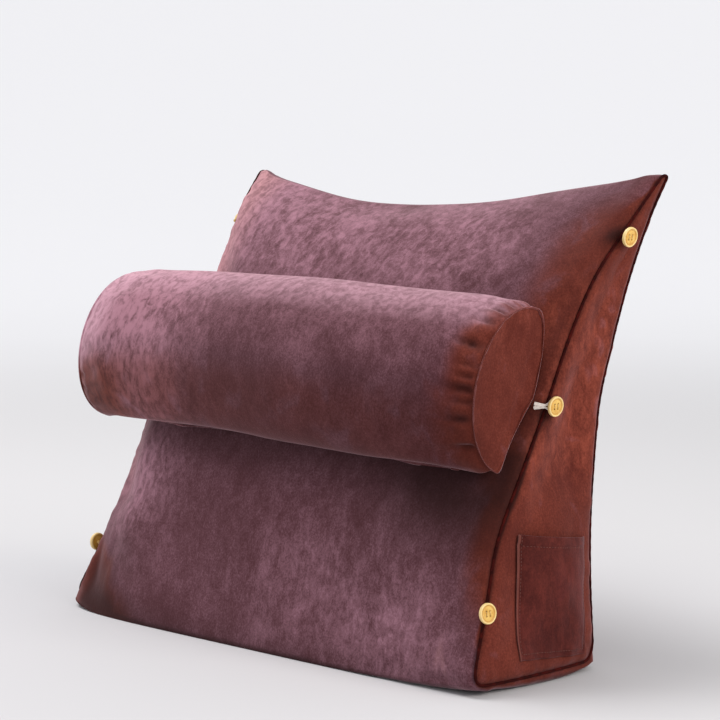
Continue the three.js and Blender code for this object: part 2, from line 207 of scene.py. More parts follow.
def settled(z):
    """Heights with all that is below the floor pressed flat on it, with a soft edge."""
    soft = (z + FLOOR_ROUND) ** 2 / (4 * FLOOR_ROUND)
    return np.where(z <= -FLOOR_ROUND, 0, np.where(z >= FLOOR_ROUND, z, soft))


def box_grid(cells):
    """The skin of a box of cells: each corner's share of its width, depth and height, and its faces."""
    index, corners, quads = {}, [], []

    def corner(ijk):
        if ijk not in index:
            index[ijk] = len(corners)
            corners.append([n / c for n, c in zip(ijk, cells)])
        return index[ijk]

    for fixed, u, v in ((0, 1, 2), (1, 2, 0), (2, 0, 1)):
        for level in (0, cells[fixed]):
            for a in range(cells[u]):
                for b in range(cells[v]):
                    ring = []
                    for da, db in ((0, 0), (1, 0), (1, 1), (0, 1)):
                        ijk = [0, 0, 0]
                        ijk[fixed], ijk[u], ijk[v] = level, a + da, b + db
                        ring.append(corner(tuple(ijk)))
                    quads.append(ring if level else ring[::-1])
    return np.array(corners), quads


def in_model(points):
    """From millimetres behind the front bottom edge to metres in the model."""
    return (np.asarray(points, float) - (0, BASE_MIDDLE_Y, 0)) / 1000


def in_levels(points):
    return np.asarray(points) * 1000 + (0, BASE_MIDDLE_Y, 0)


def mesh_piece(name, points, faces):
    mesh = bpy.data.meshes.new(name)
    mesh.from_pydata([tuple(p) for p in points], [], faces)
    piece = bpy.data.objects.new(name, mesh)
    bpy.context.scene.collection.objects.link(piece)
    return piece


def only(piece):
    bpy.ops.object.select_all(action="DESELECT")
    piece.select_set(True)
    bpy.context.view_layer.objects.active = piece


def face_outwards(piece):
    only(piece)
    bpy.ops.object.mode_set(mode="EDIT")
    bpy.ops.mesh.select_all(action="SELECT")
    bpy.ops.mesh.normals_make_consistent(inside=False)
    bpy.ops.object.mode_set(mode="OBJECT")


def points_of(piece, what="co"):
    found = np.empty(len(piece.data.vertices) * 3)
    piece.data.vertices.foreach_get(what, found)
    return found.reshape(-1, 3)


def move_points(piece, points):
    piece.data.vertices.foreach_set("co", np.asarray(points, float).ravel())
    piece.data.update()


def paint(piece, name, values):
    """Keeps one number for each point of the mesh, for the piece's material to read."""
    field = piece.data.attributes.get(name) or piece.data.attributes.new(name, "FLOAT", "POINT")
    field.data.foreach_set("value", np.asarray(values, float))


def edge_ends(piece):
    ends = np.empty(len(piece.data.edges) * 2, int)
    piece.data.edges.foreach_get("vertices", ends)
    return ends.reshape(-1, 2)


def calmed(piece, moved, rounds):
    """Movements averaged with their neighbours', which takes out creases as fine as the mesh."""
    first, second = edge_ends(piece).T
    count = np.bincount(np.concatenate([first, second]), minlength=len(moved))[:, None]
    for _ in range(rounds):
        total = np.zeros_like(moved)
        np.add.at(total, first, moved[second])
        np.add.at(total, second, moved[first])
        moved = (moved + total / count) / 2
    return moved


def stuffed(piece, held, cap):
    """Blows up the cover as cloth round its stuffing, with the held points kept and the rest capped."""
    start = points_of(piece)
    group = piece.vertex_groups.new(name="held")
    group.add([int(i) for i in np.flatnonzero(held)], 1.0, "REPLACE")
    only(piece)
    bpy.ops.object.modifier_add(type="CLOTH")
    cover = piece.modifiers["Cloth"]
    for name, value in CLOTH.items():
        setattr(cover.settings, name, value)
    cover.settings.effector_weights.gravity = 0
    cover.point_cache.frame_start = 1
    cover.point_cache.frame_end = CLOTH_STEPS
    for step in range(1, CLOTH_STEPS + 1):
        bpy.context.scene.frame_set(step)
    bpy.ops.object.modifier_apply(modifier="Cloth")
    bpy.context.scene.frame_set(1)
    moved = points_of(piece) - start
    length = np.linalg.norm(moved, axis=1)
    moved *= (np.minimum(length, cap) / np.maximum(length, 1e-9))[:, None]
    moved = calmed(piece, moved, CALMING_ROUNDS) * ~held[:, None]
    move_points(piece, start + moved)
    piece.vertex_groups.clear()


def creased_seam(piece, on_seam):
    """Keeps the edges of a seam sharp when the mesh round them is subdivided."""
    field = piece.data.attributes.new("crease_edge", "FLOAT", "EDGE")
    field.data.foreach_set("value", np.where(on_seam[edge_ends(piece)].all(axis=1), SEAM_CREASE, 0.0))


def finer(piece, levels):
    only(piece)
    bpy.ops.object.modifier_add(type="SUBSURF")
    piece.modifiers["Subdivision"].levels = levels
    piece.modifiers["Subdivision"].render_levels = levels
    bpy.ops.object.modifier_apply(modifier="Subdivision")
    bpy.ops.object.shade_smooth()


def rough_line(places, step, seed):
    """Smooth random numbers from -1 to 1 along a line, one for about each step."""
    rng = np.random.default_rng(seed)
    knots = rng.uniform(-1, 1, 4000)
    at = places / step
    i = np.floor(at).astype(int) % 3999
    return mix(knots[i], knots[i + 1], smooth_step(0, 1, at - np.floor(at)))


def seam_outline(way, tall=900, deep=300):
    """Points all round a side panel's seam: down the front, back along the base and up the back."""
    down, along, rise = (towards_ends(np.arange(n) / n) for n in (tall, deep, tall))
    back = np.concatenate([np.zeros(tall), along, np.ones(tall)])
    height = np.concatenate([1 - down, np.zeros(deep), rise])
    return panel_seam(way, back, height)[0]


def along_seam(points, outline):
    """For each point, its distance from a seam and how far along it its nearest place is."""
    tree = KDTree(len(outline))
    for i, place in enumerate(outline):
        tree.insert(place, i)
    tree.balance()
    steps = np.linalg.norm(np.roll(outline, -1, axis=0) - outline, axis=1)
    lengths = np.concatenate([[0], np.cumsum(steps)[:-1]])
    found = [tree.find(p)[1:] for p in points]
    return np.array([d for _, d in found]), lengths[[i for i, _ in found]]


shares, quads = box_grid(CUSHION_CELLS)
across = np.sin(np.pi * (shares[:, 0] - 0.5))
back, up = towards_ends(shares[:, 1]), towards_ends(shares[:, 2])
cover = strip_point(across, back, up)
for way in (-1, 1):
    side = across * way > 0.99999
    cover[side] = side_point(way, back[side], up[side])
floor_height = cover[:, 2].copy()
cover[:, 2] = settled(cover[:, 2])
cushion = mesh_piece("cushion", in_model(cover), quads)
on_side = np.abs(across) > 0.99999
on_seam = on_side & ((back < 1e-4) | (back > 1 - 1e-4) | (up < 1e-4) | (up > 1 - 1e-4))
on_floor = floor_height < 1
creased_seam(cushion, on_seam)
held = on_seam | on_floor
from_seams = np.minimum(*(along_seam(cover, seam_outline(way))[0] for way in (-1, 1)))
room = smooth_step(1, 40, from_seams) * smooth_step(0, 45, cover[:, 2])
room *= 1 - smooth_step(390, 478, cover[:, 2])
shrunk = SHRUNK["cushion"] * room
move_points(cushion, points_of(cushion) - points_of(cushion, "normal") * shrunk[:, None])
stuffed(cushion, held, SWELLING_CAP["cushion"] * (0.15 + 0.85 * room))
finer(cushion, 1)

places, normals = in_levels(points_of(cushion)), points_of(cushion, "normal")
x, y, z = places.T
rise = np.zeros(len(places))
near_seam = np.full(len(places), 999.0)
for way, seed in ((-1, 11), (1, 12)):
    distance, travelled = along_seam(places, seam_outline(way))
    near_seam = np.minimum(near_seam, distance)
    rise += 1.5 * smooth_step(0, 7, distance) * (1 - smooth_step(7, 34, distance))
    pucker = rough_line(travelled, 5.5, seed) * 0.7 + rough_line(travelled, 11, seed + 20)
    base_pull = 1 + 0.9 * (1 - smooth_step(10, 50, z))
    rise += 0.75 * base_pull * pucker * smooth_step(0, 6, distance) * (1 - smooth_step(8, 30, distance))
waves = np.sin(x / 47 + 1.3 * np.sin(z / 61)) * np.sin(z / 53 + x / 90)
rise += 1.2 * waves * smooth_step(20, 60, near_seam)
rise *= smooth_step(0.5, 9, z)
places = places + normals * rise[:, None]
x, y, z = places.T
for corner_x, corner_y in zip(CORNERS["x"], CORNERS["y"]):
    away = np.hypot(x - corner_x, y - corner_y)
    z[:] = np.maximum(z, CORNER_LIFT["height"] * fade(away, CORNER_LIFT["reach"]))
move_points(cushion, in_model(places))


def spot(x, z, patch_x, patch_z, reach_x, reach_z):
    """1 at a place on the front, fading to 0 round it."""
    return np.exp(-(((x - patch_x) / reach_x) ** 2) - ((z - patch_z) / reach_z) ** 2)


front = smooth_step(0.0, 0.2, -normals[:, 1]) * (1 - smooth_step(0.75, 0.95, np.abs(normals[:, 0])))
towards_right = smooth_step(0.35, 0.8, normals[:, 0])
towards_left = smooth_step(0.45, 0.85, -normals[:, 0])
by_right_seam = smooth_step(mix(245, 195, smooth_step(180, 330, z)), 288, x) * smooth_step(20, 130, z)
by_right_seam *= 1 - 0.6 * smooth_step(425, 470, z)
near_base = 1 - smooth_step(44, 100, z + 0.5 * (x + HALF_WIDTH))
brown_corner = (1 - smooth_step(-235, -120, x)) * near_base * (y < 40)
left_low = smooth_step(0.1, 0.4, -normals[:, 0]) * (1 - smooth_step(35, 90, z))
# Red-brown tone on the side panels, at the lower left and by the right seam, mauve on the front: partly
# the nap's own colour and partly painted shade.
nap_and_shade_warmth = towards_right + 0.8 * towards_left + front * by_right_seam + brown_corner + left_low
paint(cushion, "nap_and_shade_warmth", np.clip(nap_and_shade_warmth, 0, 1))
# Painted sheen: a pale pinkish cast on the front's left edge, standing in for light catching the nap.
paint(cushion, "painted_sheen", front * (1 - smooth_step(-300, -215, x)) * smooth_step(90, 190, z))
brushed_and_lit = np.full(len(places), 0.06)
for patch_x, patch_z, reach, strength in zip(*BRUSHED_AND_LIT.values()):
    brushed_and_lit += front * strength * spot(x, z, patch_x, patch_z, reach, reach)
# Painted light on the right side panel above the pocket.
brushed_and_lit += 0.35 * towards_right * smooth_step(150, 220, z) * (1 - smooth_step(330, 400, z))
paint(cushion, "brushed_and_lit", np.clip(brushed_and_lit, 0, 1))
# Painted shade: darker under the bolster, by the right seam, on a patch low on the left, in the lower
# left corner, in the dimple by the high right button, along the bottom by the floor, in the seams'
# valleys and under the right elastic loop.
under_bolster = 0.5 * spot(x, z, -20, 205, 900, 24) + 0.95 * spot(x, z, 235, 178, 85, 48)
painted_shade = front * (under_bolster + 0.2 * by_right_seam + 0.25 * spot(x, z, -225, 70, 36, 24))
painted_shade += 0.88 * brown_corner * smooth_step(-296, -270, x) + 0.9 * front * spot(x, z, 291, 423, 8, 9)
painted_shade += 0.2 * (1 - smooth_step(4, 40, z)) + 0.8 * (1 - smooth_step(0.5, 7, z))
painted_shade += 0.5 * (1 - smooth_step(0.5, 4.5, near_seam))
painted_shade += 0.8 * np.exp(-((x - 281) ** 2 + (y - 116) ** 2 + (z - 252) ** 2) / 11**2)
paint(cushion, "painted_shade", np.clip(painted_shade, 0, 1))
# Painted highlight: short pale streaks on the folds at the front's lower right corner.
corner_folds = spot(x, z, 256, 34, 2.5, 13) + spot(x + 0.35 * z, z, 273, 26, 2.0, 10)
paint(cushion, "edge", 0.3 * front * corner_folds)
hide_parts("wedge_cushion")
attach(cushion, "root")


def linear(code):
    """A colour written as six hexadecimal digits, as the shader's linear numbers."""
    values = [int(code[i : i + 2], 16) / 255 for i in (0, 2, 4)]
    return (*(v / 12.92 if v <= 0.04045 else ((v + 0.055) / 1.055) ** 2.4 for v in values), 1.0)


class Wire:
    """One socket of a material. Arithmetic on it adds Math nodes, and add makes any other node."""

    def __init__(self, tree, socket=None):
        self.tree, self.socket = tree, socket

    def add(self, kind, settings=None, sockets=None, outlet=0):
        node = self.tree.nodes.new(kind)
        for name, value in (settings or {}).items():
            setattr(node, name, value)
        for name, value in (sockets or {}).items():
            if isinstance(value, Wire):
                self.tree.links.new(value.socket, node.inputs[name])
            else:
                node.inputs[name].default_value = value
        return Wire(self.tree, node.outputs[outlet] if node.outputs else None)

    def maths(self, operation, first, second):
        return self.add("ShaderNodeMath", {"operation": operation}, {0: first, 1: second})

    def __add__(self, other):
        return self.maths("ADD", self, other)

    def __sub__(self, other):
        return self.maths("SUBTRACT", self, other)

    def __rsub__(self, other):
        return self.maths("SUBTRACT", other, self)

    def __mul__(self, other):
        return self.maths("MULTIPLY", self, other)

    __radd__, __rmul__ = __add__, __mul__

    def between(self, low, high):
        """Its share of the way from low to high, smoothed and kept from 0 to 1."""
        settings = {"interpolation_type": "SMOOTHSTEP"}
        return self.add("ShaderNodeMapRange", settings, {0: self, 1: low, 2: high, 3: 0.0, 4: 1.0})

    def blend(self, first, second):
        """Two colours mixed by this share."""
        return self.add("ShaderNodeMix", {"data_type": "RGBA"}, {0: self, 6: first, 7: second}, 2)

    def noise(self, scale, detail=2.0, stretch=(1, 1, 1), bend=0.0, rough=0.5):
        at = self.add("ShaderNodeMapping", {}, {"Vector": self, "Scale": stretch})
        look = {"Scale": scale, "Detail": detail, "Roughness": rough, "Distortion": bend}
        return self.add("ShaderNodeTexNoise", {}, {"Vector": at, **look})

    def field(self, name):
        """The numbers that paint kept on the mesh under a name."""
        return self.add("ShaderNodeAttribute", {"attribute_name": name}, {}, 2)

    def bumps(self, height, strength, distance, under=None):
        sockets = {"Strength": strength, "Distance": distance, "Height": height}
        if under:
            sockets["Normal"] = under
        return self.add("ShaderNodeBump", {}, sockets)


def material(name):
    """A new material, and its object coordinates."""
    made = bpy.data.materials.new(name)
    made.use_nodes = True
    made.node_tree.nodes.clear()
    return made, Wire(made.node_tree).add("ShaderNodeTexCoord", {}, {}, 3)


def finish_material(at, sockets):
    shader = at.add("ShaderNodeBsdfPrincipled", {}, sockets)
    at.add("ShaderNodeOutputMaterial", {}, {"Surface": shader})


def wear(piece, made):
    piece.data.materials.clear()
    piece.data.materials.append(made)


def suede(name, cool, cool_light, warm, warm_light, painted_sheen):
    """Short nap that looks mauve one way and red-brown the other, the red-brown partly painted shade;
    paler where brushing has laid the nap and where light is painted, with painted sheen, shade and
    highlight lines over it.
    """
    made, at = material(name)
    nap_and_shade_warmth, brushed_and_lit, pinkish, painted_shade, edge = (
        at.field(key) for key in ("nap_and_shade_warmth", "brushed_and_lit", "painted_sheen", "painted_shade", "edge")
    )
    clouds = at.noise(11, 3, (1, 1, 0.8), 0.4)
    patches = at.noise(34, 3, (1, 1, 0.75), 0.6)
    strokes = at.noise(125, 5, (1, 1, 0.55), 0.45, 0.62)
    grain = at.noise(560, 4, (1, 1, 0.8), 0.0, 0.75)
    # The turn from mauve to red-brown, partly the nap's own colour and partly painted shade.
    turned = nap_and_shade_warmth * (1 - patches.between(0.5, 0.72) * 0.35) + (clouds - 0.5) * 0.5 * (1 - nap_and_shade_warmth)
    turned = turned.between(0.12, 0.88)
    # Lightness: paler where brushing has laid the nap and where light is painted, varied by clouds and
    # grain.
    light = 0.2 + brushed_and_lit * 0.52 + (clouds - 0.5) * 0.4 + (grain - 0.5) * 0.8
    light = light + (patches - 0.5) * (0.3 + brushed_and_lit * 0.55)
    light = light + (strokes.between(0.28, 0.82) - 0.4) * (0.06 + brushed_and_lit * 0.85)
    low = turned.blend(linear(cool), linear(warm))
    high = turned.blend(linear(cool_light), linear(warm_light))
    colour = light.between(0.0, 1.0).blend(low, high)
    # Painted sheen: a pale pinkish cast laid over the colour, broken by the strokes.
    colour = (pinkish * (0.4 + strokes.between(0.35, 0.65) * 0.5)).blend(colour, linear(painted_sheen))
    # Painted shade: the colour darkened towards a deep red-brown.
    colour = (painted_shade * 0.85).blend(colour, linear("220a08"))
    # Painted highlight: thin pale lines laid over the colour.
    colour = (edge * 0.7).blend(colour, linear(painted_sheen))
    fuzz = at.bumps(grain, 0.4, 0.0005)
    finish_material(at, {
        "Base Color": colour,
        "Roughness": 0.86 + light * 0.06,
        "Normal": at.bumps(strokes, 0.3, 0.0009, fuzz),
        "Specular IOR Level": 0.15,
        "Sheen Weight": 0.38,
        "Sheen Roughness": 0.36,
        "Sheen Tint": (1.0, 0.68, 0.74, 1),
    })
    return made


wear(cushion, suede("wedge_suede", "4a262b", "a37684", "521e15", "944837", "c89396"))

# Piping in the seam round each side panel: a cord in a bias strip of darker cloth, sewn in all the way
# round, over the tip and under the base.
PIPING_RADIUS = 1.5
PIPING_SEAT = 0.4
PIPING_STEP = 2.5


def evenly(points, step, rounds):
    """The points of a closed line, evenly spaced and with its corners rounded."""
    closed = np.vstack([points, points[:1]])
    lengths = np.concatenate([[0], np.cumsum(np.linalg.norm(np.diff(closed, axis=0), axis=1))])
    along = np.linspace(0, lengths[-1], int(lengths[-1] / step), endpoint=False)
    spaced = np.stack([np.interp(along, lengths, closed[:, k]) for k in range(3)], axis=1)
    for _ in range(rounds):
        spaced = (np.roll(spaced, 1, axis=0) + 2 * spaced + np.roll(spaced, -1, axis=0)) / 4
    return spaced


def beside_seam(way, points, seat):
    """The seam's points moved out of its valley, away from both panels."""
    along = np.roll(points, -1, axis=0) - np.roll(points, 1, axis=0)
    out = np.stack([0 * along[:, 0], along[:, 2], -along[:, 1]], axis=1)
    out /= np.linalg.norm(out, axis=1)[:, None]
    return points + out * seat + np.array([way * seat, 0, 0])


def cord(name, points, radius, closed=False, sides=3):
    """A round cord along points in metres."""
    curve = bpy.data.curves.new(name, "CURVE")
    curve.dimensions = "3D"
    curve.bevel_depth = radius
    curve.bevel_resolution = sides
    curve.use_fill_caps = not closed
    line = curve.splines.new("POLY")
    line.points.add(len(points) - 1)
    line.points.foreach_set("co", np.hstack([points, np.ones((len(points), 1))]).ravel())
    line.use_cyclic_u = closed
    made = bpy.data.objects.new(name, curve)
    bpy.context.scene.collection.objects.link(made)
    only(made)
    bpy.ops.object.convert(target="MESH")
    bpy.ops.object.shade_smooth()
    return bpy.context.object


piping_cloth, at = material("piping_cloth")
weave = at.noise(900, 3, (1, 1, 2.5), 0.3)
worn = at.noise(120, 4, (1, 1, 1), 0.4)
finish_material(at, {
    "Base Color": worn.between(0.35, 0.75).blend(linear("260504"), linear("450e09")),
    "Roughness": 0.75 + worn * 0.2,
    "Normal": at.bumps(weave, 0.5, 0.0005),
    "Specular IOR Level": 0.08,
})
for way, side in ((-1, "left"), (1, "right")):
    outline = beside_seam(way, evenly(seam_outline(way), PIPING_STEP, 2), PIPING_SEAT)
    piping = cord(f"piping_{side}", in_model(outline), PIPING_RADIUS / 1000, closed=True, sides=4)
    spots = points_of(piping)
    twist = np.sin(spots[:, 2] * 1000 / 1.9 + spots[:, 1] * 1000 / 2.6) * 0.00012
    move_points(piping, spots + points_of(piping, "normal") * twist[:, None])
    wear(piping, piping_cloth)
    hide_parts(f"side_piping_{side}")
    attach(piping, "root")

# The bolster is a tube of the same cloth gathered on to two end panels and stuffed. It is pressed flat
# behind where it rests on the wedge, and the gathers fan out from its end seams.
BOLSTER_LEFT = 312
BOLSTER_RIGHT = 273
BOLSTER_LEAN = 0.37
BOLSTER_HEIGHT = 278
BOLSTER_STATIONS = {
    "along": (1, 0.93, 0.8, 0),
    "long": (82, 87, 88, 87),
    "front": (58, 66, 70, 72),
    "back": (24, 28, 31, 34),
    "rise": (0, 0, 2, 6),
}
BOLSTER_MIDDLE_Y = {"left": 66, "middle": 60, "right": 88}
BOLSTER_LEFT_RISE = 8
BOLSTER_DOME = 4
# Half sizes of the section that turns round the bolster are measured on
SECTION = {"long": 86, "front": 66, "back": 30}
MEAN_RADIUS = 76
AROUND = 168
BOLSTER_GAP = 1.2
GATHER_SLANT = 0.06
GATHERS = {
    "turn": (4, 15, 25, 36, 51, 71, 86, 94, 103, 112, 124, 146, 180),
    "depth": (2.4, 2.8, 2.8, 3.6, 3.6, 7.0, 3.2, 3.4, 5.0, 3.2, 4.6, 3.0, 2.4),
    "reach": (22, 20, 22, 30, 32, 44, 32, 30, 44, 32, 42, 32, 26),
    "width": (3.4, 3.4, 3.4, 4.2, 4.6, 6.0, 3.8, 3.8, 4.8, 3.8, 4.6, 4.4, 4.0),
}


def bolster_value(key, far):
    """A measure of the bolster's section, eased between its stations."""
    stations = np.array(BOLSTER_STATIONS["along"][::-1], float)
    values = np.array(BOLSTER_STATIONS[key][::-1], float)
    i = np.clip(np.searchsorted(stations, far, side="right") - 1, 0, len(stations) - 2)
    t = np.sin(np.pi / 2 * np.clip((far - stations[i]) / (stations[i + 1] - stations[i]), 0, 1)) ** 2
    return mix(values[i], values[i + 1], t)


def bolster_middle(along):
    """The middle of the bolster's section, back and up."""
    height = BOLSTER_HEIGHT + BOLSTER_LEFT_RISE * (1 - along) / 2 + bolster_value("rise", np.abs(along))
    end_y = np.where(along < 0, BOLSTER_MIDDLE_Y["left"], BOLSTER_MIDDLE_Y["right"])
    return mix(BOLSTER_MIDDLE_Y["middle"], end_y, along**2), height


def bolster_point(turn, along, inwards):
    """A point of the bolster; turn 0 is at its top and a quarter turn at its front."""
    far = np.abs(along)
    middle, height = bolster_middle(along)
    long = np.cos(turn) * bolster_value("long", far) * inwards
    out = np.sin(turn)
    thick = np.where(out > 0, bolster_value("front", far), bolster_value("back", far)) * out * inwards
    low_back = np.clip(-np.sin(2 * (turn - np.pi / 2)), 0, 1) * (out < 0) * (np.cos(turn) < 0)
    thick *= 1 - 0.55 * low_back * smooth_step(0.75, 0.97, along)
    end_x = np.where(along < 0, BOLSTER_LEFT, BOLSTER_RIGHT)
    x = along * end_x + np.sign(along) * BOLSTER_DOME * (1 - inwards**2)
    y = middle + math.sin(BOLSTER_LEAN) * long - math.cos(BOLSTER_LEAN) * thick
    z = height + math.cos(BOLSTER_LEAN) * long + math.sin(BOLSTER_LEAN) * thick
    return np.stack([x, y, z], axis=1)


def tube_quads(around, rows):
    """Faces of a closed tube of rows of points, with a single point at each end."""
    made = []
    last = 1 + around * rows
    for k in range(around):
        n = (k + 1) % around
        made += [[0, 1 + n, 1 + k], [last, last - around + k, last - around + n]]
        for row in range(rows - 1):
            a = 1 + row * around
            made.append([a + k, a + n, a + around + n, a + around + k])
    return made


panel = 1 - (1 - np.linspace(0, 1, 12)[1:]) ** 1.5
near_end, along_middle = np.linspace(0, 0.2, 24)[1:], np.linspace(0.2, 1.8, 46)[1:-1]
tube = np.concatenate([near_end, along_middle, (2 - near_end)[::-1]]) - 1
row_along = np.concatenate([-np.ones(len(panel)), tube, np.ones(len(panel))])
row_inwards = np.concatenate([panel, np.ones(len(tube)), panel[::-1]])
turns = np.linspace(0, 2 * np.pi, AROUND, endpoint=False)
along = np.concatenate([[-1], np.repeat(row_along, AROUND), [1]])
inwards = np.concatenate([[0], np.repeat(row_inwards, AROUND), [0]])
turn = np.concatenate([[0], np.tile(turns, len(row_along)), [0]])
cushion_skin = BVHTree.FromObject(cushion, bpy.context.evaluated_depsgraph_get())


def clear_of_cushion(points, gap):
    """Points in millimetres, pressed forward until they are a gap off the cushion's front."""
    out = points.copy()
    for i, (px, py, pz) in enumerate(in_model(points)):
        if py > -0.06:
            hit = cushion_skin.ray_cast(Vector((px, -0.4, pz)), Vector((0, 1, 0)))[0]
            if hit is not None:
                out[i, 1] = min(out[i, 1], hit.y * 1000 + BASE_MIDDLE_Y - gap)
    return out


roll = clear_of_cushion(bolster_point(turn, along, inwards), BOLSTER_GAP)
bolster = mesh_piece("bolster_roll", in_model(roll), tube_quads(AROUND, len(row_along)))
face_outwards(bolster)
end_seam = (np.abs(np.abs(along) - 1) < 1e-6) & (inwards > 0.999)
creased_seam(bolster, end_seam)
# Marks the end seams, for the painted highlight line laid along them below.
paint(bolster, "edge", 0.5 * end_seam)
shrunk = SHRUNK["bolster"] * ~end_seam
move_points(bolster, points_of(bolster) - points_of(bolster, "normal") * shrunk[:, None])
stuffed(bolster, end_seam, SWELLING_CAP["bolster"])
move_points(bolster, in_model(clear_of_cushion(in_levels(points_of(bolster)), BOLSTER_GAP)))
finer(bolster, 1)

places, normals = in_levels(points_of(bolster)), points_of(bolster, "normal")
x = places[:, 0]
share = np.clip(x / np.where(x < 0, BOLSTER_LEFT, BOLSTER_RIGHT), -1, 1)
middle, height = bolster_middle(share)
back_off, up_off = places[:, 1] - middle, places[:, 2] - height
up_slope = math.sin(BOLSTER_LEAN) * back_off + math.cos(BOLSTER_LEAN) * up_off
outward = -math.cos(BOLSTER_LEAN) * back_off + math.sin(BOLSTER_LEAN) * up_off
half_thick = np.where(outward > 0, SECTION["front"], SECTION["back"])
turned = np.degrees(np.arctan2(outward / half_thick, up_slope / SECTION["long"])) % 360
tube_side = smooth_step(0.25, 0.7, 1 - np.abs(normals[:, 0]))
rise = np.zeros(len(places))
rng = np.random.default_rng(7)
hidden = np.array([212, 228, 247, 262, 281, 299, 318, 335, 350]) + rng.uniform(-4, 4, 9)
right_folds = list(zip(*GATHERS.values()))
right_folds += [(h, rng.uniform(1.4, 3), rng.uniform(18, 30), 4.0) for h in hidden]
left_turns = np.arange(8, 360, 17) + rng.uniform(-5, 5, 21)
left_folds = [(h, rng.uniform(0.5, 1.4), rng.uniform(14, 26), 4.2) for h in left_turns]
# Painted shade in the troughs of the gathers, and a painted highlight on the lit crests beside the upper
# ones.
painted_shade, pale = np.zeros(len(places)), np.zeros(len(places))
bolster_ends = ((BOLSTER_RIGHT - x, right_folds, 1.8), (BOLSTER_LEFT + x, left_folds, 0.4))
for end, folds, between_folds in bolster_ends:
    total = np.zeros(len(places))
    for at_turn, depth, reach, width in folds:
        gap = (turned - at_turn + 180) % 360 - 180
        off_line = np.radians(gap) * MEAN_RADIUS + GATHER_SLANT * end
        line = np.exp(-((off_line / width) ** 2))
        length = smooth_step(-0.5, 6, end) * (1 - smooth_step(7, reach, end))
        rise -= depth * line * length * tube_side
        painted_shade += 0.17 * depth * np.exp(-((off_line / (0.75 * width)) ** 2)) * length * tube_side
        crest = np.exp(-((off_line + 3.2) ** 2))
        pale += (at_turn < 45) * (depth > 2) * crest * length * tube_side
        total += line
    lifted = smooth_step(0, 7, end) * (1 - smooth_step(9, 34, end)) * (end > -3)
    rise += between_folds * lifted * (1 - np.clip(total, 0, 1)) * tube_side
waves = np.sin(x / 51 + 1.1) * np.sin(np.radians(turned) * 3 + x / 80)
rise += 0.9 * waves * smooth_step(10, 60, BOLSTER_RIGHT - np.abs(x))
places = clear_of_cushion(places + normals * rise[:, None], BOLSTER_GAP / 2)
move_points(bolster, in_model(places))


def towards(at_turn):
    """How far each point lies towards a turn of the bolster: 1 on its skin, fading to 0 at its core."""
    aim = math.radians(at_turn)
    return math.cos(aim) * up_slope / SECTION["long"] + math.sin(aim) * outward / half_thick


x = places[:, 0]
facing_up = np.clip(towards(30), 0, 1)
below = smooth_step(0.5, 1.0, towards(150))
up_there = smooth_step(0.8, 1, facing_up) * (1 - smooth_step(248, 268, x))
gathered = smooth_step(222, 262, x) * (1 - 0.6 * up_there) * (1 - 0.6 * below)
end_panel = smooth_step(0.55, 0.9, np.abs(normals[:, 0]))
end_panel *= np.where(x > 0, 1, 0.3)
bottom_left = (1 - smooth_step(-300, -190, x)) * smooth_step(0.4, 0.95, towards(165))
gathered = np.maximum(gathered, (x > 0) * (1 - tube_side))
# Red-brown tone on the end panels and the right gathers, along the underside and at the lower left end:
# partly the nap's own colour and partly painted shade.
paint(bolster, "nap_and_shade_warmth", np.clip(end_panel + 0.95 * gathered + 0.5 * below + 0.6 * bottom_left, 0, 1))
# Painted sheen over the bolster's left end and a painted highlight along its top, kept off the right end
# panel.
painted_sheen = (1 - smooth_step(-312, -230, x)) * (1 - bottom_left) * (1 - below)
painted_sheen += 0.66 * smooth_step(0.6, 1.0, towards(12)) * (1 - 0.7 * smooth_step(250, 270, x))
paint(bolster, "painted_sheen", np.clip(painted_sheen, 0, 1) * (1 - end_panel * (x > 0)))
# Paler at the bolster's left end, partly brushing of the nap and partly painted light, with a painted
# highlight where it faces up.
brushed_and_lit = 0.06 + 0.85 * (1 - smooth_step(-230, -60, x)) + 0.2 * smooth_step(0.3, 1, facing_up)
paint(bolster, "brushed_and_lit", np.clip(brushed_and_lit, 0, 1))
# Painted shade under the bolster and at its lower left end, with the shade in the gathers.
paint(bolster, "painted_shade", np.clip(painted_shade + 0.3 * below + 0.45 * bottom_left, 0, 1))
# Painted highlights: a thin pale line along the front of the end seams, and the lit crests beside the
# upper gathers.
edge = np.empty(len(places), np.float32)
bolster.data.attributes["edge"].data.foreach_get("value", edge)
seam_light = np.where(edge > 0.45, 0.14, 0) * smooth_step(70, 100, turned)
paint(bolster, "edge", seam_light + np.clip(0.5 * pale, 0, 1))
wear(bolster, suede("bolster_suede", "48252a", "a27380", "521d13", "92493a", "cc9eac"))
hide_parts("bolster")
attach(bolster, "root")

# The pocket is one patch of the same cloth on the right side panel. It is hemmed at its top, sewn down
# on its other three edges, and a little slack, so that it stands open.
POCKET_BASE = ((54, 28), (147, 20))
POCKET_TOP = ((66, 145), (160, 132))
# The pocket's front edge, along which a pale line is painted as a highlight.
POCKET_PALE_EDGE = ((54, 28), (67, 145))
POCKET_SIZE = (96, 115)
POCKET_SLACK = 8
POCKET_CELLS = (60, 72)
POCKET_THICK = 1.6
POCKET_LIFT = 2.2
HEM = 0.088
STITCH_LONG = 2.3
STITCH_THICK = 0.65
STITCH_EDGE = 0.033


